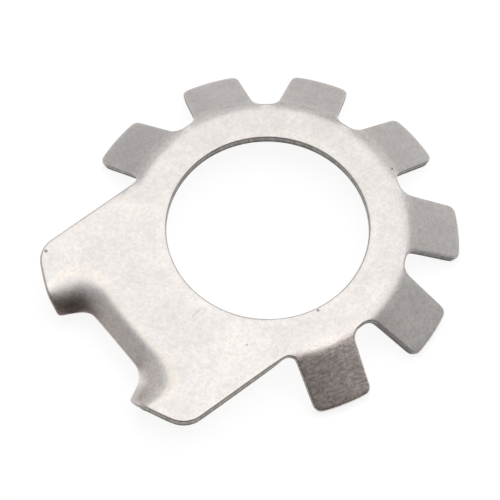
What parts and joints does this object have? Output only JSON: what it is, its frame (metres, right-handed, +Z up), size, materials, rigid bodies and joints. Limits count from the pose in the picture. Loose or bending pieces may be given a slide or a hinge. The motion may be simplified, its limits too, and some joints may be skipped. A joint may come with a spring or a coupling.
{
  "type": "tab lock washer",
  "caption": "Flat steel ring with a row of short tabs bent down round one side and a wide squared wing opposite, whose end edge is pressed down into a U-shaped lip.",
  "frame": {"origin": "under the middle of the part's bounding box, on the plane that the tab tips stand on", "axes": "+X from the wide wing towards the middle tab, which is the longest extent; +Z up through the sheet, which is the shortest extent; the XZ plane is the part's plane of symmetry"},
  "size_m": [0.041, 0.0382, 0.0043],
  "materials": {
    "satin_steel": "tumbled satin steel, bare metal, slightly warm grey, fine mottled grain, cut edges darker"
  },
  "bodies": {
    "root": {"lock_washer": "satin_steel"}
  },
  "joints": []
}
